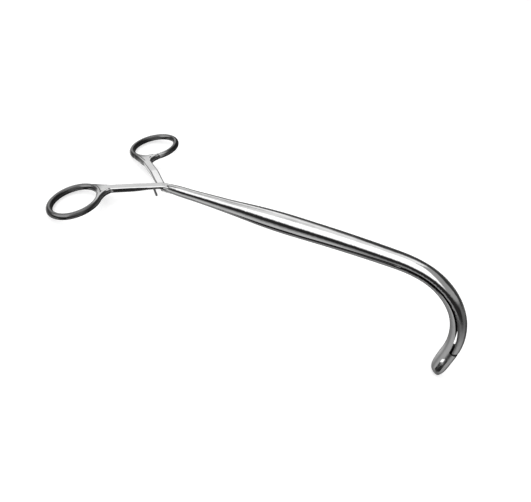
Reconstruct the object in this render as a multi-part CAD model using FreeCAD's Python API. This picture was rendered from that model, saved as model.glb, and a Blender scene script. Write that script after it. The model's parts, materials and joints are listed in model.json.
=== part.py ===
"""Kidney stone forceps, closed, lying as it rests on a table.

Two forged branches cross at a lap joint and turn on one screw. Each branch is a finger ring,
a flat shank, half of the long tapered shaft, half of the curved neck and one fenestrated jaw.
The upper branch runs from the right-hand ring over the lap joint into the outer half of the
curve, and ends in the left-hand jaw. The lower branch is its partner.

Everything is first modelled in a working frame: the screw's axis is Z, the closed shaft runs
along +X from it, and the curve turns down towards -Z. At the end the whole instrument is
pitched about Y until both rings and the jaw tips touch the table, which is how it lies.
"""
import FreeCAD, Part
import math
import os

from FreeCAD import Vector

# Centre line of the closed shaft, from the pivot to the jaw tips
STRAIGHT_LENGTH = 93.2
BENDS = [(796.0, 3.04), (56.1, 12.4), (33.4, 64.5), (39.8, 23.9)]  # radius, angle in degrees
JAW_END_LENGTH = 18.2

# Diameters of the closed shaft: where along the straight, as a share of it, and how thick
SHAFT_DIAMETERS = [(0.0, 5.2), (0.11, 5.8), (0.25, 6.3), (0.39, 7.3), (0.52, 8.6), (0.65, 10.0),
                   (0.77, 10.7), (0.89, 10.65), (1.0, 10.35)]
# Rounded root of the shaft: share of the way from the screw to the second diameter, and radius
# as a share of the first diameter
SHAFT_ROOT = [(0.0, 0.22), (0.12, 0.36), (0.35, 0.48), (0.65, 0.525)]
ROOT_FROM_SCREW = 0.3
CURVE_START_DIAMETER = 9.2
CURVE_MIDDLE_DIAMETER = 8.2
CURVE_END_DIAMETER = 8.6
THINNEST_AT = 0.6  # share of the curve's length
JAW_DIAMETER = 8.7
# Rounded jaw end: distance back from the tip, width as a share of the jaw's, shift outwards
JAW_END_SHAPE = [(6.3, 0.94, 0.05), (4.0, 0.85, 0.2), (2.6, 0.72, 0.45), (1.4, 0.54, 0.9),
                 (0.5, 0.35, 1.35), (0.0, 0.18, 1.6)]

# Seam between the two halves, measured from the centre line towards the outside of the curve
SEAM_AT_PIVOT = -0.5
SEAM_AT_BELLY = -1.3
SEAM_IN_CURVE = -0.15
SEAM_AT_NOTCH = 0.2
BELLY_START = 0.65  # shares of the straight length
BELLY_END = 0.95
# Room between the two halves: at the lap joint, in the curve and at the notch
LAP_CLEARANCE = 0.12
SEAM_RELIEF = 0.04  # the rounded halves stand this much further apart than the flat lap faces
CURVE_GAP = 1.0
NOTCH_GAP = 1.5
GAP_STARTS_BEFORE_CURVE = 2.9
# Groove where the edges of both halves are bevelled along the seam; it starts and ends gently
SEAM_GROOVE_WIDTH = 1.0
SEAM_GROOVE_DEPTH = 0.6
SEAM_GROOVE_START = 20.0
SEAM_GROOVE_FULL = 58.0
SEAM_GROOVE_PAST_CURVE = 6.0

# Jaws: their length from notch to tip, their parting, windows and gripping grooves
JAW_LENGTH = 20.5
SHOULDER_GAP = 2.2
SHOULDER_STEP = 0.15
WIDEST_FROM_SHOULDER = 4.1
JAW_PARTING = 0.12
WINDOW_LENGTH = 10.4
WINDOW_WIDTH = 2.9
WINDOW_FROM_TIP = 4.8
GROOVE_PITCH = 1.0
GROOVE_DEPTH = 0.3
GROOVE_COUNT = 14

# Finger rings
RING_HOLE_LONG = 29.0
RING_HOLE_SHORT = 18.2
RING_BAND = 3.5
RING_LEAN = 5.0  # degrees that the long axis leans forwards
RING_LEVEL = 0.3
RING_JOIN = 160.0  # where the shank meets the ring, in degrees from its outer end
# Two round legs that the shank spreads into: where each meets the ring, in degrees from its
# outer end, where it starts beside the shank's middle line, and how far it keeps its first and
# last heading
FRONT_LEG = (112.0, 0.6, 6.0, 7.0)
BACK_LEG = (192.0, -0.9, 4.0, 5.0)
LEG_START = 11.3  # before the shank's end
LEG_SHAPE = [(0.0, 0.6), (0.4, 1.0), (0.8, 1.0), (1.0, 0.8)]  # share of its way, of the band

# Shanks and the lap joint under the screw
SHANK_ANGLE = 37.0
SHANK_REACH = 36.3
SHANK_WIDTH = 4.6
SHANK_THICKNESS = 3.1
SHANK_ROOT_WIDTH = 3.4
SHANK_CORNER = 0.7
UPPER_LAP_THICKNESS = 2.0
LOWER_LAP_THICKNESS = 1.6
ELBOW_RADIUS = 9.0
FORK_WIDTH = 9.8
FORK_LENGTH = 8.0
FORK_SHIFT = 1.6
FORK_HOLLOW = 2.2  # power of the flare: higher is more hollow
JOGGLE_START = 5.5
JOGGLE_LENGTH = 12.0

# Pivot screw, put in from below and turning in the lower branch
SCREW_DIAMETER = 2.4
SCREW_HEAD_DIAMETER = 3.6
SCREW_HEAD_HEIGHT = 0.7
SCREW_HEAD_LAND = 0.12
SCREW_SLOT_WIDTH = 0.5
SCREW_SLOT_DEPTH = 0.4
RUNNING_CLEARANCE = 0.05

# Small pin that stands out of the upper branch's shank, near the screw
PIN_DIAMETER = 1.2
PIN_REACH = 7.9
PIN_FROM_PIVOT = 5.7
PIN_ANGLE = -45.0
PIN_SEAT = 1.2
PIN_ROUNDING = 0.36

BEYOND = 12.0  # how far cutting shapes reach past the metal
SECTIONS_IN_CURVE = 24
SECTIONS_IN_ELBOW = 6
SECTIONS_IN_SHANK = 14
SECTIONS_IN_HALF_RING = 24
SECTIONS_IN_ROOT = 3
SECTIONS_IN_LEG = 10
SEAM_STEP = 5.0  # longest stretch between two points of a seam

BEND_LENGTHS = [radius * math.radians(degrees) for radius, degrees in BENDS]
CURVE_START = STRAIGHT_LENGTH + BEND_LENGTHS[0]
CURVE_LENGTH = sum(BEND_LENGTHS[1:])
CURVE_MIDDLE = CURVE_START + CURVE_LENGTH * THINNEST_AT
TIP = CURVE_START + CURVE_LENGTH + JAW_END_LENGTH
NOTCH = TIP - JAW_LENGTH
SHOULDER = NOTCH + SHOULDER_GAP
JAW_WIDEST = SHOULDER + WIDEST_FROM_SHOULDER
UPPER_LAP_LEVEL = SEAM_AT_PIVOT + (LAP_CLEARANCE + UPPER_LAP_THICKNESS) / 2
LOWER_LAP_LEVEL = SEAM_AT_PIVOT - (LAP_CLEARANCE + LOWER_LAP_THICKNESS) / 2
SCREW_BOTTOM = LOWER_LAP_LEVEL - LOWER_LAP_THICKNESS / 2
SCREW_TOP = UPPER_LAP_LEVEL + UPPER_LAP_THICKNESS / 2

# Pairs of length along the centre line and value there
DIAMETERS = [(share * STRAIGHT_LENGTH, width) for share, width in SHAFT_DIAMETERS]
DIAMETERS += [(CURVE_START, CURVE_START_DIAMETER), (CURVE_MIDDLE, CURVE_MIDDLE_DIAMETER),
              (NOTCH, CURVE_END_DIAMETER), (JAW_WIDEST, JAW_DIAMETER)]
DIAMETERS += [(TIP - back, JAW_DIAMETER * share) for back, share, _ in JAW_END_SHAPE]
SHIFTS = [(JAW_WIDEST, 0.0)] + [(TIP - back, shift) for back, _, shift in JAW_END_SHAPE]
SEAM = [(DIAMETERS[1][0], SEAM_AT_PIVOT), (BELLY_START * STRAIGHT_LENGTH, SEAM_AT_BELLY),
        (BELLY_END * STRAIGHT_LENGTH, SEAM_AT_BELLY), (CURVE_START, SEAM_IN_CURVE),
        (NOTCH - CURVE_LENGTH / 5, SEAM_IN_CURVE), (NOTCH, SEAM_AT_NOTCH)]
GAP = [(0.0, LAP_CLEARANCE + SEAM_RELIEF),
       (CURVE_START - GAP_STARTS_BEFORE_CURVE, LAP_CLEARANCE + SEAM_RELIEF),
       (CURVE_START + CURVE_LENGTH / 5, CURVE_GAP), (NOTCH - CURVE_LENGTH / 10, CURVE_GAP),
       (NOTCH, NOTCH_GAP)]


def between(pairs, s):
    """Straight-line value at s, from pairs of length and value."""
    for (s0, v0), (s1, v1) in zip(pairs, pairs[1:]):
        if s <= s1:
            return v0 + (v1 - v0) * max(0.0, s - s0) / (s1 - s0)
    return pairs[-1][1]


def ease(t):
    """Smooth step from 0 to 1."""
    t = min(1.0, max(0.0, t))
    return t * t * (3 - 2 * t)


def centre_line(s):
    """Point, forward direction and outward direction of the centre line at length s."""
    x, z, angle = min(s, STRAIGHT_LENGTH), 0.0, 0.0
    left = s - STRAIGHT_LENGTH
    for (radius, degrees), length in zip(BENDS, BEND_LENGTHS):
        turn = max(0.0, min(left / radius, math.radians(degrees)))
        x += radius * (math.sin(angle + turn) - math.sin(angle))
        z -= radius * (math.cos(angle) - math.cos(angle + turn))
        angle += turn
        left -= length
    forward = Vector(math.cos(angle), 0, -math.sin(angle))
    outward = Vector(math.sin(angle), 0, math.cos(angle))
    return Vector(x, 0, z) + forward * max(0.0, left), forward, outward


def beside(s, outwards, y=0.0):
    """Point at length s, moved outwards of the curve and sideways."""
    point, _, outward = centre_line(s)
    return point + outward * outwards + Vector(0, y, 0)


def circle_at(s, radius):
    """Round section across the centre line."""
    centre = beside(s, between(SHIFTS, s))
    return Part.Wire(Part.makeCircle(radius, centre, centre_line(s)[1]))


def envelope():
    """The closed shaft, neck and jaws as one round tapered solid."""
    root = SCREW_DIAMETER / 2 + ROOT_FROM_SCREW
    root_length = DIAMETERS[1][0] - root
    sections = [circle_at(root + root_length * way, share * DIAMETERS[0][1])
                for way, share in SHAFT_ROOT]
    sections += [circle_at(s, width / 2) for s, width in DIAMETERS[1:] if s <= STRAIGHT_LENGTH]
    for k in range(1, SECTIONS_IN_CURVE + 1):
        s = STRAIGHT_LENGTH + (JAW_WIDEST - STRAIGHT_LENGTH) * k / SECTIONS_IN_CURVE
        sections.append(circle_at(s, between(DIAMETERS, s) / 2))
    for back, share, _ in JAW_END_SHAPE:
        sections.append(circle_at(TIP - back, share * JAW_DIAMETER / 2))
    return Part.makeLoft(sections, True, False)


def slab(start, end, low, high):
    """Wide block between two curves beside the centre line, over a stretch of its length."""
    steps = math.ceil((end - start) / SEAM_STEP)
    lengths = [start + (end - start) * k / steps for k in range(steps + 1)]
    sides = []
    for offset in (low, high):
        curve = Part.BSplineCurve()
        curve.interpolate([beside(s, offset(s), -BEYOND) for s in lengths])
        sides.append(curve.toShape())
    closing = [Part.makeLine(beside(s, low(s), -BEYOND), beside(s, high(s), -BEYOND))
               for s in (start, end)]
    face = Part.Face(Part.Wire([sides[0], closing[1], sides[1], closing[0]]))
    return face.extrude(Vector(0, 2 * BEYOND, 0))


def prism(corners, y_low, y_high):
    """Straight-sided block; corners are lengths along and distances outwards."""
    points = [beside(s, outwards, y_low) for s, outwards in corners]
    face = Part.Face(Part.makePolygon(points + points[:1]))
    return face.extrude(Vector(0, y_high - y_low, 0))


def half_space(sign):
    """Space of the outer (+1) or inner (-1) half of the shaft and curve, up to the notch."""
    return slab(-BEYOND / 2, NOTCH, lambda s: between(SEAM, s) + sign * between(GAP, s) / 2,
                lambda s: sign * BEYOND)


def jaw_space(sign):
    """Space of one jaw, whose slanted shoulder faces its partner's square end."""
    throat = SEAM_AT_NOTCH + sign * NOTCH_GAP / 2
    shoulder_edge = -sign * JAW_DIAMETER / 2
    inside = NOTCH - NOTCH_GAP
    corners = [(inside, sign * BEYOND), (inside, throat), (NOTCH + SHOULDER_STEP, throat),
               (SHOULDER, shoulder_edge), (SHOULDER, -sign * BEYOND),
               (TIP + BEYOND, -sign * BEYOND), (TIP + BEYOND, sign * BEYOND)]
    y_ends = sorted((sign * JAW_PARTING / 2, sign * BEYOND))
    return prism(corners, *y_ends)


def seam_groove(side):
    """Long shallow wedge along the seam, on one side of the shaft."""
    end = CURVE_START + SEAM_GROOVE_PAST_CURVE
    depths = [(SEAM_GROOVE_START, -SEAM_GROOVE_DEPTH / 4), (SEAM_GROOVE_FULL, SEAM_GROOVE_DEPTH),
              (CURVE_START, SEAM_GROOVE_DEPTH), (end, -SEAM_GROOVE_DEPTH / 4)]
    steps = math.ceil((end - SEAM_GROOVE_START) / SEAM_STEP)
    sections = []
    for k in range(steps + 1):
        s = SEAM_GROOVE_START + (end - SEAM_GROOVE_START) * k / steps
        middle = between(SEAM, s)
        surface = math.sqrt((between(DIAMETERS, s) / 2) ** 2 - middle ** 2)
        bottom, top = surface - between(depths, s), surface + SEAM_GROOVE_DEPTH
        half = (top - bottom) * SEAM_GROOVE_WIDTH / SEAM_GROOVE_DEPTH / 2
        corners = [beside(s, middle, side * bottom), beside(s, middle + half, side * top),
                   beside(s, middle - half, side * top)]
        sections.append(Part.makePolygon(corners + corners[:1]))
    return Part.makeLoft(sections, True, False)


def window():
    """Rounded slot through both jaws."""
    radius = WINDOW_WIDTH / 2
    front = TIP - WINDOW_FROM_TIP - radius
    back = front - WINDOW_LENGTH + WINDOW_WIDTH
    rounds = [Part.makeCylinder(radius, 2 * BEYOND, beside(s, 0, -BEYOND), Vector(0, 1, 0))
              for s in (front, back)]
    corners = [(front, -radius), (front, radius), (back, radius), (back, -radius)]
    return prism(corners, -BEYOND, BEYOND).fuse(rounds)


def gripping_grooves():
    """Rows of small V grooves across the meeting faces of the jaws."""
    half = GROOVE_DEPTH + JAW_PARTING / 2
    grooves = []
    for k in range(GROOVE_COUNT):
        s = TIP - JAW_END_SHAPE[1][0] - k * GROOVE_PITCH
        _, forward, outward = centre_line(s)
        centre = beside(s, -BEYOND)
        points = [centre + forward * half, centre + Vector(0, half, 0),
                  centre - forward * half, centre - Vector(0, half, 0)]
        face = Part.Face(Part.makePolygon(points + points[:1]))
        grooves.append(face.extrude(outward * (2 * BEYOND)))
    return grooves


def bar_section(centre, heading, width, thickness):
    """Rectangle with rounded corners, across a bar that heads along a plan angle."""
    across = Vector(-math.sin(heading), math.cos(heading), 0)
    r = min(SHANK_CORNER, width / 2, thickness / 2 * 0.9)
    w, h = width / 2 - r, thickness / 2 - r

    def spot(a, b, degrees):
        turn = math.radians(degrees)
        return centre + across * (a + r * math.cos(turn)) + Vector(0, 0, b + r * math.sin(turn))

    edges = []
    corners = [(w, h, 0), (-w, h, 90), (-w, -h, 180), (w, -h, 270)]
    for (a, b, turn), (c, d, next_turn) in zip(corners, corners[1:] + corners[:1]):
        edges.append(Part.Arc(spot(a, b, turn), spot(a, b, turn + 45), spot(a, b, turn + 90)).toShape())
        edges.append(Part.makeLine(spot(a, b, turn + 90), spot(c, d, next_turn)))
    return Part.Wire(edges)


def shank_end(side):
    """Point in plan where the shank's middle line meets the ring."""
    angle = math.radians(SHANK_ANGLE)
    return Vector(-SHANK_REACH * math.cos(angle), side * SHANK_REACH * math.sin(angle), RING_LEVEL)


def ring_at(side, turn):
    """Point and direction of the ring's middle line, at an angle from its outer end."""
    lean = math.radians(RING_LEAN)
    out = Vector(math.sin(lean), side * math.cos(lean), 0) * ((RING_HOLE_LONG + RING_BAND) / 2)
    front = Vector(math.cos(lean), -side * math.sin(lean), 0) * ((RING_HOLE_SHORT + RING_BAND) / 2)
    join = math.radians(RING_JOIN)
    centre = shank_end(side) - out * math.cos(join) - front * math.sin(join)
    point = centre + out * math.cos(turn) + front * math.sin(turn)
    return point, (front * math.cos(turn) - out * math.sin(turn)).normalize()


def finger_ring(side):
    """Oval ring of round section, hung on the end of its shank; made as two half turns."""
    halves = []
    for first_turn in (0, math.pi):
        sections = []
        for k in range(SECTIONS_IN_HALF_RING + 1):
            point, along = ring_at(side, first_turn + math.pi * k / SECTIONS_IN_HALF_RING)
            sections.append(Part.Wire(Part.makeCircle(RING_BAND / 2, point, along)))
        halves.append(Part.makeLoft(sections, True, False))
    return halves[0].fuse(halves[1]).removeSplitter()


def ring_leg(side, join, beside_middle, first_pull, last_pull):
    """Round leg from inside the flat shank, curving into the ring's band."""
    angle = math.radians(SHANK_ANGLE)
    heading = Vector(-math.cos(angle), side * math.sin(angle), 0)
    frontwards = Vector(math.sin(angle), side * math.cos(angle), 0)
    start = shank_end(side) - heading * LEG_START + frontwards * beside_middle
    end, along = ring_at(side, math.radians(join))
    onwards = along if join > RING_JOIN else along * -1
    curve = Part.BezierCurve()
    curve.setPoles([start, start + heading * first_pull, end - onwards * last_pull, end])
    up = Vector(0, 0, 1)
    sections = []
    for k in range(SECTIONS_IN_LEG + 1):
        way = k / SECTIONS_IN_LEG
        point = curve.value(way)
        across = curve.tangent(way)[0].cross(up)
        radius = between(LEG_SHAPE, way) * RING_BAND / 2
        rim = Part.Circle(point + up * radius, point + across * radius, point - up * radius)
        sections.append(Part.Wire(rim.toShape()))
    return Part.makeLoft(sections, True, False)


def shank(side, lap_level, lap_thickness):
    """Flat bar from inside the shaft round the elbow to the ring, spread into a fork there."""
    angle = math.radians(SHANK_ANGLE)
    elbow_reach = ELBOW_RADIUS * math.tan(angle / 2)
    root = SHAFT_DIAMETERS[1][0] * STRAIGHT_LENGTH
    sections = []
    for k in range(SECTIONS_IN_ROOT + 1):
        x = root + (elbow_reach - root) * k / SECTIONS_IN_ROOT
        width = SHANK_ROOT_WIDTH + (SHANK_WIDTH - SHANK_ROOT_WIDTH) * k / SECTIONS_IN_ROOT
        sections.append(bar_section(Vector(x, 0, lap_level), math.pi, width, lap_thickness))
    for k in range(1, SECTIONS_IN_ELBOW + 1):
        turn = angle * k / SECTIONS_IN_ELBOW
        point = Vector(elbow_reach - ELBOW_RADIUS * math.sin(turn),
                       side * ELBOW_RADIUS * (1 - math.cos(turn)), lap_level)
        sections.append(bar_section(point, math.pi - side * turn, SHANK_WIDTH, lap_thickness))
    heading = math.pi - side * angle
    along = Vector(math.cos(heading), math.sin(heading), 0)
    outer_side = Vector(-math.sin(heading), math.cos(heading), 0) * -side
    for k in range(1, SECTIONS_IN_SHANK + 1):
        reach = elbow_reach + (SHANK_REACH - elbow_reach) * k / SECTIONS_IN_SHANK
        rise = ease((reach - JOGGLE_START) / JOGGLE_LENGTH)
        level = lap_level + (RING_LEVEL - lap_level) * rise
        thickness = lap_thickness + (SHANK_THICKNESS - lap_thickness) * rise
        flare = max(0.0, 1 - (SHANK_REACH - reach) / FORK_LENGTH) ** FORK_HOLLOW
        width = SHANK_WIDTH + (FORK_WIDTH - SHANK_WIDTH) * flare
        point = along * reach + outer_side * (FORK_SHIFT * flare) + Vector(0, 0, level)
        sections.append(bar_section(point, heading, width, thickness))
    return Part.makeLoft(sections, True, False)


def branch(sign, whole, cuts):
    """One forged branch: +1 is the upper one, with the outer half of the curve."""
    levels = {1: (UPPER_LAP_LEVEL, UPPER_LAP_THICKNESS), -1: (LOWER_LAP_LEVEL, LOWER_LAP_THICKNESS)}
    half = whole.common(half_space(sign).fuse(jaw_space(sign)))
    legs = [ring_leg(-sign, *leg) for leg in (FRONT_LEG, BACK_LEG)]
    forged = half.fuse([shank(-sign, *levels[sign]), finger_ring(-sign)] + legs)
    cuts = cuts + [window(), seam_groove(1), seam_groove(-1)] + gripping_grooves()
    return forged.cut(cuts).removeSplitter()


def screw_blank(clearance, past):
    """Countersunk screw, or with clearance and running past both ends, the hole for it."""
    stem = SCREW_DIAMETER / 2 + clearance
    head = SCREW_HEAD_DIAMETER / 2 + clearance
    low, high = SCREW_BOTTOM - past, SCREW_TOP + past
    profile = [(0, low), (head, low), (head, SCREW_BOTTOM + SCREW_HEAD_LAND),
               (stem, SCREW_BOTTOM + SCREW_HEAD_HEIGHT), (stem, high), (0, high)]
    points = [Vector(radius, 0, height) for radius, height in profile]
    face = Part.Face(Part.makePolygon(points + points[:1]))
    return face.revolve(Vector(0, 0, 0), Vector(0, 0, 1), 360)


def pivot_screw():
    """Slotted countersunk screw, its end flush with the top of the lap joint."""
    slot = Part.makeBox(2 * BEYOND, SCREW_SLOT_WIDTH, SCREW_SLOT_DEPTH + 1,
                        Vector(-BEYOND, -SCREW_SLOT_WIDTH / 2, SCREW_BOTTOM - 1))
    return screw_blank(0.0, 0.0).cut(slot).removeSplitter()


def pin_blank():
    """Plain cylinder from the pin's seat inside the upper shank out of its side."""
    angle, turn = math.radians(SHANK_ANGLE), math.radians(PIN_ANGLE)
    on_shank = Vector(-math.cos(angle), -math.sin(angle), 0) * PIN_FROM_PIVOT
    side_face = on_shank + Vector(math.sin(angle), -math.cos(angle), 0) * (SHANK_WIDTH / 2)
    along = Vector(math.cos(turn), math.sin(turn), 0)
    start = side_face - along * PIN_SEAT + Vector(0, 0, UPPER_LAP_LEVEL)
    return Part.makeCylinder(PIN_DIAMETER / 2, PIN_SEAT + PIN_REACH, start, along)


def shank_pin():
    """Small straight pin with a rounded end."""
    pin = pin_blank()
    rims = [edge for edge in pin.Edges if len(edge.Vertexes) == 1]
    free_rim = max(rims, key=lambda edge: edge.CenterOfMass.x)
    return pin.makeFillet(PIN_ROUNDING, [free_rim])


def rest_pitch(ring, shaft):
    """Pitch in degrees at which the rings and the jaw tips are at the same height."""
    low, high = 0.0, 45.0
    for _ in range(16):
        pitch = (low + high) / 2
        lowest = []
        for shape in (ring, shaft):
            turned = shape.copy()
            turned.rotate(Vector(0, 0, 0), Vector(0, 1, 0), -pitch)
            lowest.append(turned.optimalBoundingBox(False).ZMin)
        if lowest[1] < lowest[0]:
            low = pitch
        else:
            high = pitch
    return pitch


def build():
    """All pieces as they lie on the table, with the pitch and shift that put them there."""
    whole = envelope()
    pieces = {
        "upper_branch": branch(1, whole, [screw_blank(0.0, BEYOND), pin_blank()]),
        "lower_branch": branch(-1, whole, [screw_blank(RUNNING_CLEARANCE, BEYOND)]),
        "pivot_screw": pivot_screw(),
        "shank_pin": shank_pin(),
    }
    pitch = rest_pitch(finger_ring(1), whole)
    for shape in pieces.values():
        shape.rotate(Vector(0, 0, 0), Vector(0, 1, 0), -pitch)
    box = Part.makeCompound(list(pieces.values())).optimalBoundingBox(False)
    shift = Vector(-box.Center.x, -box.Center.y, -box.ZMin)
    for shape in pieces.values():
        shape.translate(shift)
    return pieces, pitch, shift


def main():
    os.makedirs("parts", exist_ok=True)
    pieces, pitch, shift = build()
    print("pitch", round(pitch, 3), "shift", shift)
    for name, shape in pieces.items():
        shape.exportStep(os.path.join("parts", name + ".step"))
        print(name, shape.isValid(), len(shape.Solids), round(shape.Volume, 1), shape.BoundBox)


if __name__ == "__main__":
    main()
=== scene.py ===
"""Looks of the kidney stone forceps: polished steel on a white floor in soft studio light."""
import json
import math

import bpy
from mathutils import Matrix, Vector

# The photograph's frame and the camera fitted to it, turned about the closed shaft
IMAGE_WIDTH = 531
IMAGE_HEIGHT = 502
FOCAL_LENGTH_PX = 621.0
AIM_PIXEL = (157.15, 184.42)
AIM_BEHIND_PIVOT = 0.00455
CAMERA_DISTANCE = 0.34846
CAMERA_AZIMUTH = 23.417
CAMERA_ELEVATION = 35.705
CAMERA_ROLL = -3.848
SENSOR_WIDTH = 36.0
NEAREST_SEEN = 0.01
SEAM_BELOW_AXIS = 0.0005

# Room and floor
FLOOR_RADIUS = 6.0
FLOOR_SIDES = 64
FLOOR_BELOW = 0.0002
FLOOR_COLOUR = 0.62
FLOOR_GLOW = 0.6
ROOM_LIGHT = 0.5

# What the steel mirrors: soft-edged patches painted one over another on a dome. Each has the
# azimuth of its middle (0 is towards -Y, 90 towards +X) and half its width, the elevation of its
# middle and half its height, the softness of its edge, all in degrees, and its radiance.
DOME_RADIUS = 3.0
DOME_STEPS_ROUND, DOME_STEPS_UP, DOME_TOP = 48, 28, 89
DOME_BASE = 0.5
DOME_PATCHES = {
    "table": (0, 181, -54, 44, 5, 0.35),
    "table_front": (-30, 36, -44, 20, 8, 0.8),
    "table_left": (-120, 30, -28, 18, 8, 1.1),
    "table_side": (85, 40, -32, 14, 6, 0.7),
    "table_right": (28, 23, -44, 27, 3, 0.02),
    "table_edge": (20, 18, -9, 7, 3, 0.55),
    "table_back": (154, 46, -32, 36, 6, 0.03),
    "low_surround": (0, 181, 9, 15, 5, 0.2),
    "dark_front": (18, 62, 4, 15, 5, 0.03),
    "back_wall": (160, 50, 30, 22, 5, 0.06),
    "back_panel": (-127, 14, 17, 19, 3, 1.12),
    "ceiling": (-120, 80, 74, 16, 6, 1.45),
    "left_window": (-105, 40, 62, 20, 6, 1.25),
    "window_bar": (-82, 34, 56, 2.5, 2, 0.9),
    "back_window": (-136, 6, 40, 14, 6, 1.55),
    "key_window": (-19, 58, 55, 29, 5, 2.0),
}

# Lamps that light the floor: azimuth, elevation, width, height and radiance
LAMP_DISTANCE = 0.9
LAMPS = {"key_lamp": (-20, 57, 1.1, 0.75, 1.6), "left_lamp": (-105, 55, 1.0, 0.7, 1.0)}

# Steel: painted shade darkens crevices within this reach of another face, from wide open to closed
CREVICE_REACH = 0.0025
CREVICE_CLOSED, CREVICE_OPEN = 0.4, 0.92
CREVICE_PAINTED_SHADE = 0.08
RELIEF_DEPTH = 0.001

# Forged branches: reflectance and roughness of each finish
BRIGHT_COLOUR, BRIGHT_ROUGHNESS = 0.56, 0.09
# The rings' low reflectance is painted shade for the dark things they mirror; their roughness is their
# satin finish
RING_PAINTED_SHADE_COLOUR, RING_ROUGHNESS = 0.15, 0.22
NECK_COLOUR, NECK_ROUGHNESS = 0.46, 0.33
# Where one finish passes into the next, the rings' finish bringing their painted shade with it:
# distance from the screw in the handle, and depth below the shaft's axis in the neck
RING_FINISH_AND_SHADE = (0.032, 0.039)
NECK_FINISH = (0.015, 0.027)
SHANK_ANGLE = 37.0
# The leg on the ring's front side stays bright, out of the rings' painted shade, for longer, by this
# share of its distance forward
FRONT_LEG_LAG = 0.3
# Fine polishing lines along the shaft, soft clouds and the satin's grain
LINE_SCALES = (40, 1600, 1600)
CLOUD_SCALE = 120.0
CLOUD_SHADES = (0.94, 1.04)
GRAIN_SCALE = 4000.0
UNEVEN_ROUGHNESS = 0.06
LINE_DEPTH, GRAIN_DEPTH = 0.002, 0.006
# Painted shade along the bevelled groove of the shaft's seam: its height over the pivot's level at
# places along the shaft, the bend of the shaft's far part, how wide and how long it is, and how dark
SEAM_HEIGHTS = [(0.010, -0.0005), (0.061, -0.0013), (0.089, -0.0013), (0.135, -0.00015)]
BEND_START, BEND_RADIUS = 0.0932, 0.796
GROOVE_HALF_WIDTHS = (0.0003, 0.0006)
GROOVE_START, GROOVE_END = (0.028, 0.062), (0.134, 0.140)
GROOVE_PAINTED_SHADE = 0.93

# Turned screw and drawn pin: darkest and lightest reflectance, least and most roughness, the
# scale of their marks and how deep those are; the pin's dark reflectance is painted shade
SCREW_COLOURS, SCREW_ROUGHNESS = (0.45, 0.6), (0.12, 0.28)
SCREW_RING_SCALE, SCREW_RING_DEPTH = 9000.0, 0.006
PIN_PAINTED_SHADE_COLOURS, PIN_ROUGHNESS = (0.08, 0.16), (0.25, 0.4)
PIN_SPOT_SCALE, PIN_SPOT_DEPTH = 2500.0, 0.005

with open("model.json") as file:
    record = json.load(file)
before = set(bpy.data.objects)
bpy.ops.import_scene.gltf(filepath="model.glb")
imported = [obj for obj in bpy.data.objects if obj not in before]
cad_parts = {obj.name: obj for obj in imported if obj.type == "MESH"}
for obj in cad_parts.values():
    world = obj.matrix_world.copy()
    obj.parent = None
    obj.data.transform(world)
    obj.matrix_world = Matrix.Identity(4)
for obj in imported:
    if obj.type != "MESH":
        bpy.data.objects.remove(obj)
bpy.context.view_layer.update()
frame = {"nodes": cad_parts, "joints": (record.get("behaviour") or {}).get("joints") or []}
joint = frame["joints"][0]

hinge_up = -Vector(joint["axis"]).normalized()
sideways = Vector((0, 1, 0))
shaft_along = sideways.cross(hinge_up)
pivot = Vector(joint["pos_m"])


def shaft_point(along, across, up):
    """Point from distances along the shaft, across it and up the hinge."""
    return pivot + shaft_along * along + sideways * across + hinge_up * up


def direction(azimuth, elevation):
    """Unit vector towards an azimuth and elevation in degrees."""
    turn, rise = math.radians(azimuth), math.radians(elevation)
    return Vector((math.sin(turn) * math.cos(rise), -math.cos(turn) * math.cos(rise), math.sin(rise)))


class Tree:
    """Short way to write a node tree: each call adds a node and returns its first output."""

    def __init__(self, owner):
        owner.use_nodes = True
        self.tree = owner.node_tree
        self.tree.nodes.clear()

    def node(self, kind, inputs=None, **settings):
        made = self.tree.nodes.new(kind)
        for key, value in settings.items():
            setattr(made, key, value)
        for key, value in (inputs or {}).items():
            if isinstance(value, bpy.types.NodeSocket):
                self.tree.links.new(value, made.inputs[key])
            else:
                made.inputs[key].default_value = value
        return made

    def math(self, operation, *values):
        return self.node("ShaderNodeMath", dict(enumerate(values)), operation=operation).outputs[0]

    def vector(self, operation, *values):
        made = self.node("ShaderNodeVectorMath", dict(enumerate(values)), operation=operation)
        scalar = operation in ("DOT_PRODUCT", "LENGTH")
        return made.outputs["Value" if scalar else "Vector"]

    def ramp(self, value, start, end, low=0.0, high=1.0):
        """Smooth step of a value between two limits."""
        inputs = {"Value": value, "From Min": start, "From Max": end, "To Min": low, "To Max": high}
        return self.node("ShaderNodeMapRange", inputs, interpolation_type="SMOOTHSTEP").outputs[0]

    def mix(self, factor, first, second):
        return self.node("ShaderNodeMix", {0: factor, 2: first, 3: second}).outputs[0]

    def noise(self, place, scale, detail=3.0):
        inputs = {"Vector": place, "Scale": scale, "Detail": detail}
        return self.node("ShaderNodeTexNoise", inputs).outputs[0]


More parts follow.
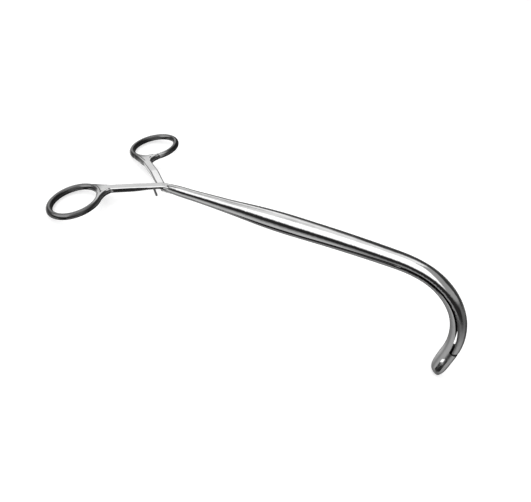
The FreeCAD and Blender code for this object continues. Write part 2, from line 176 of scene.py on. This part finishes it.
def make_camera():
    data = bpy.data.cameras.new("camera")
    data.sensor_width = SENSOR_WIDTH
    data.lens = FOCAL_LENGTH_PX / IMAGE_WIDTH * SENSOR_WIDTH
    data.clip_start = NEAREST_SEEN
    camera = bpy.data.objects.new("camera", data)
    bpy.context.scene.collection.objects.link(camera)
    back = direction(CAMERA_AZIMUTH, CAMERA_ELEVATION)
    right = Vector((-back.y, back.x, 0)).normalized()
    up = back.cross(right)
    roll = math.radians(CAMERA_ROLL)
    rolled_right = right * math.cos(roll) - up * math.sin(roll)
    rolled_up = right * math.sin(roll) + up * math.cos(roll)
    axes = Matrix((shaft_along, sideways, hinge_up)).transposed()
    turn = axes @ Matrix((rolled_right, rolled_up, back)).transposed()
    aim = shaft_point(-AIM_BEHIND_PIVOT, 0, SEAM_BELOW_AXIS)
    scale = CAMERA_DISTANCE / FOCAL_LENGTH_PX
    offset = Vector(((AIM_PIXEL[0] - IMAGE_WIDTH / 2) * scale,
                     (IMAGE_HEIGHT / 2 - AIM_PIXEL[1]) * scale, -CAMERA_DISTANCE))
    camera.matrix_world = Matrix.Translation(aim - turn @ offset) @ turn.to_4x4()
    bpy.context.scene.camera = camera


def background_seen(tree):
    """1 for the rays that are to see the plain background."""
    paths = tree.node("ShaderNodeLightPath").outputs
    seen = tree.math("MAXIMUM", paths["Is Camera Ray"], paths["Is Glossy Ray"])
    return tree.math("MAXIMUM", seen, paths["Is Transmission Ray"])


def make_world():
    world = bpy.data.worlds.new("studio")
    bpy.context.scene.world = world
    tree = Tree(world)
    room = tree.node("ShaderNodeBackground", {"Color": (1, 1, 1, 1), "Strength": ROOM_LIGHT})
    white = tree.node("ShaderNodeBackground", {"Color": (1, 1, 1, 1), "Strength": 1.0})
    mix = tree.node("ShaderNodeMixShader", {0: background_seen(tree), 1: room.outputs[0],
                                            2: white.outputs[0]})
    tree.node("ShaderNodeOutputWorld", {"Surface": mix.outputs[0]})


def mesh_object(name, points, faces):
    mesh = bpy.data.meshes.new(name)
    mesh.from_pydata(points, [], faces)
    made = bpy.data.objects.new(name, mesh)
    bpy.context.scene.collection.objects.link(made)
    return made


def disc(name, radius, height, sides):
    """Round flat sheet."""
    turns = [2 * math.pi * k / sides for k in range(sides)]
    points = [(radius * math.cos(a), radius * math.sin(a), height) for a in turns]
    return mesh_object(name, points, [tuple(range(sides))])


def material_tree(piece, name):
    """New material on a piece, and its node tree."""
    material = bpy.data.materials.new(name)
    piece.data.materials.clear()
    piece.data.materials.append(material)
    return Tree(material)


def finish_material(tree, shader):
    tree.node("ShaderNodeOutputMaterial", {"Surface": shader.outputs[0]})


def seen_by_steel_only(piece):
    """Studio card that shows in reflections and nowhere else."""
    piece.visible_camera = False
    piece.visible_diffuse = False
    piece.visible_shadow = False
    piece.visible_transmission = False


def make_floor():
    floor = disc("floor", FLOOR_RADIUS, -FLOOR_BELOW, FLOOR_SIDES)
    tree = material_tree(floor, "floor")
    colour = (FLOOR_COLOUR, FLOOR_COLOUR, FLOOR_COLOUR, 1)
    body = tree.node("ShaderNodeBsdfDiffuse", {"Color": colour})
    glow = tree.node("ShaderNodeEmission", {"Strength": FLOOR_GLOW})
    both = tree.node("ShaderNodeAddShader", {0: body.outputs[0], 1: glow.outputs[0]})
    finish_material(tree, tree.node("ShaderNodeMixShader", {
        0: background_seen(tree), 1: body.outputs[0], 2: both.outputs[0]}))
    floor.visible_glossy = False


def make_dome():
    """Large ball round the set, with the studio's windows, walls and table painted on it."""
    points, faces = [], []
    for level in range(DOME_STEPS_UP + 1):
        elevation = DOME_TOP * (2 * level / DOME_STEPS_UP - 1)
        for step in range(DOME_STEPS_ROUND):
            points.append(direction(360 * step / DOME_STEPS_ROUND, elevation) * DOME_RADIUS)
    for level in range(DOME_STEPS_UP):
        first = level * DOME_STEPS_ROUND
        for step in range(DOME_STEPS_ROUND):
            a, b = first + step, first + (step + 1) % DOME_STEPS_ROUND
            faces.append((a, b, b + DOME_STEPS_ROUND, a + DOME_STEPS_ROUND))
    dome = mesh_object("studio_dome", points, faces)
    tree = material_tree(dome, "studio_dome")
    place = tree.node("ShaderNodeTexCoord").outputs["Object"]
    split = tree.node("ShaderNodeSeparateXYZ", {0: tree.vector("NORMALIZE", place)}).outputs
    azimuth = tree.math("DEGREES", tree.math("ARCTAN2", split[0], tree.math("MULTIPLY", split[1], -1)))
    elevation = tree.math("DEGREES", tree.math("ARCSINE", split[2]))
    light = DOME_BASE
    for middle, half_width, height, half_height, soft, radiance in DOME_PATCHES.values():
        aside = tree.math("WRAP", tree.math("SUBTRACT", azimuth, middle), 180, -180)
        above = tree.math("SUBTRACT", elevation, height)
        inside = [tree.ramp(tree.math("ABSOLUTE", away), half - soft, half + soft, 1.0, 0.0)
                  for away, half in ((aside, half_width), (above, half_height))]
        light = tree.mix(tree.math("MULTIPLY", *inside), light, radiance)
    finish_material(tree, tree.node("ShaderNodeEmission", {"Strength": light}))
    seen_by_steel_only(dome)


def make_lamp(name, azimuth, elevation, width, height, radiance):
    """Soft lamp that lights the floor; the steel mirrors the dome instead."""
    data = bpy.data.lights.new(name, "AREA")
    data.shape = "RECTANGLE"
    data.size, data.size_y = width, height
    data.energy = radiance * math.pi * width * height
    lamp = bpy.data.objects.new(name, data)
    towards = direction(azimuth, elevation)
    lamp.location = towards * LAMP_DISTANCE
    lamp.rotation_mode = "QUATERNION"
    lamp.rotation_quaternion = (-towards).to_track_quat("-Z", "Y")
    lamp.visible_glossy = False
    bpy.context.scene.collection.objects.link(lamp)


def steel(piece, name, finish):
    """Metal whose reflectance, roughness and lines come from a finish; crevices get painted shade."""
    tree = material_tree(frame["nodes"][piece], name)
    place = tree.node("ShaderNodeTexCoord").outputs["Object"]
    from_pivot = tree.vector("SUBTRACT", place, pivot)
    along = tree.vector("DOT_PRODUCT", from_pivot, shaft_along)
    across = tree.vector("DOT_PRODUCT", from_pivot, sideways)
    up = tree.vector("DOT_PRODUCT", from_pivot, hinge_up)
    colour, roughness, bump = finish(tree, along, across, up)
    # Painted shade: the colour darkens where another face is close by
    openness = tree.node("ShaderNodeAmbientOcclusion", {"Distance": CREVICE_REACH}, samples=8)
    shade = tree.ramp(openness.outputs["AO"], CREVICE_CLOSED, CREVICE_OPEN, CREVICE_PAINTED_SHADE, 1.0)
    colour = tree.math("MULTIPLY", colour, shade)
    tint = tree.node("ShaderNodeCombineColor", {0: colour, 1: colour, 2: colour}).outputs[0]
    relief = tree.node("ShaderNodeBump", {"Strength": 1.0, "Distance": RELIEF_DEPTH,
                                          "Height": bump})
    finish_material(tree, tree.node("ShaderNodeBsdfPrincipled", {
        "Base Color": tint, "Metallic": 1.0, "Roughness": roughness,
        "Normal": relief.outputs[0]}))


def painted_seam_shade(tree, along, up):
    """Painted shade in the groove along the seam: the share of colour kept there."""
    height = SEAM_HEIGHTS[0][1]
    for (start, low), (end, high) in zip(SEAM_HEIGHTS, SEAM_HEIGHTS[1:]):
        step = tree.node("ShaderNodeMapRange", {"Value": along, "From Min": start, "From Max": end,
                                                "To Min": 0.0, "To Max": high - low})
        height = tree.math("ADD", height, step.outputs[0])
    past = tree.math("MAXIMUM", tree.math("SUBTRACT", along, BEND_START), 0.0)
    drop = tree.math("DIVIDE", tree.math("MULTIPLY", past, past), 2 * BEND_RADIUS)
    height = tree.math("SUBTRACT", height, drop)
    away = tree.math("ABSOLUTE", tree.math("SUBTRACT", up, height))
    # Painted shade, darkest on the seam and fading towards the groove's edges and ends
    groove = tree.ramp(away, *GROOVE_HALF_WIDTHS, GROOVE_PAINTED_SHADE, 0.0)
    groove = tree.math("MULTIPLY", groove, tree.ramp(along, *GROOVE_START))
    groove = tree.math("MULTIPLY", groove, tree.ramp(along, *GROOVE_END, 1.0, 0.0))
    return tree.math("SUBTRACT", 1.0, groove)


def forged_finish(tree, along, across, up):
    """Bright shaft and shanks, satin rings darkened by painted shade, satin neck and jaws."""
    behind = tree.math("MINIMUM", along, 0.0)
    in_handle = tree.node("ShaderNodeCombineXYZ", {0: behind, 1: across}).outputs[0]
    reach = tree.vector("LENGTH", in_handle)
    turn = math.radians(SHANK_ANGLE)
    forward = tree.math("ADD", tree.math("MULTIPLY", behind, math.sin(turn)),
                        tree.math("MULTIPLY", tree.math("ABSOLUTE", across), math.cos(turn)))
    reach = tree.math("SUBTRACT", reach, tree.math("MULTIPLY", forward, FRONT_LEG_LAG))
    # Mask of the rings' satin finish and of their painted shade
    rings = tree.ramp(reach, *RING_FINISH_AND_SHADE)
    neck = tree.ramp(tree.math("MULTIPLY", up, -1.0), *NECK_FINISH)
    place = tree.node("ShaderNodeCombineXYZ", {0: along, 1: across, 2: up}).outputs[0]
    lines = tree.noise(tree.vector("MULTIPLY", place, LINE_SCALES), 1.0, 4.0)
    clouds = tree.noise(place, CLOUD_SCALE, 3.0)
    grain = tree.noise(place, GRAIN_SCALE, 2.0)
    satin = tree.math("MAXIMUM", rings, neck)
    # The rings' colour is painted shade; the neck's is its satin finish
    colour = tree.mix(neck, tree.mix(rings, BRIGHT_COLOUR, RING_PAINTED_SHADE_COLOUR), NECK_COLOUR)
    colour = tree.math("MULTIPLY", colour, tree.ramp(clouds, 0.3, 0.7, *CLOUD_SHADES))
    # Painted shade along the seam's groove
    colour = tree.math("MULTIPLY", colour, painted_seam_shade(tree, along, up))
    roughness = tree.mix(neck, tree.mix(rings, BRIGHT_ROUGHNESS, RING_ROUGHNESS), NECK_ROUGHNESS)
    uneven = tree.math("MULTIPLY", tree.math("ADD", lines, clouds), UNEVEN_ROUGHNESS)
    roughness = tree.math("ADD", tree.math("SUBTRACT", roughness, UNEVEN_ROUGHNESS), uneven)
    depth = tree.mix(satin, LINE_DEPTH, GRAIN_DEPTH)
    return colour, roughness, tree.math("MULTIPLY", tree.mix(satin, lines, grain), depth)


def turned_finish(tree, along, across, up):
    """Fine rings round the screw's axis."""
    flat = tree.node("ShaderNodeCombineXYZ", {0: along, 1: across}).outputs[0]
    out = tree.math("MULTIPLY", tree.vector("LENGTH", flat), SCREW_RING_SCALE)
    rings = tree.noise(out, 1.0, 2.0)
    return (tree.mix(rings, *SCREW_COLOURS), tree.mix(rings, *SCREW_ROUGHNESS),
            tree.math("MULTIPLY", rings, SCREW_RING_DEPTH))


def pin_finish(tree, along, across, up):
    """Drawn wire with faint lines, kept dark by painted shade."""
    place = tree.node("ShaderNodeCombineXYZ", {0: along, 1: across, 2: up}).outputs[0]
    spots = tree.noise(place, PIN_SPOT_SCALE, 3.0)
    # The pin's dark colour is painted shade; its spots vary at random
    return (tree.mix(spots, *PIN_PAINTED_SHADE_COLOURS), tree.mix(spots, *PIN_ROUGHNESS),
            tree.math("MULTIPLY", spots, PIN_SPOT_DEPTH))


bpy.context.scene.view_settings.view_transform = "Standard"
make_camera()
make_world()
make_floor()
make_dome()
for lamp_name, lamp_facts in LAMPS.items():
    make_lamp(lamp_name, *lamp_facts)
steel("upper_branch", "upper_forged_steel", forged_finish)
steel("lower_branch", "lower_forged_steel", forged_finish)
steel("pivot_screw", "turned_screw_steel", turned_finish)
steel("shank_pin", "drawn_pin_steel", pin_finish)
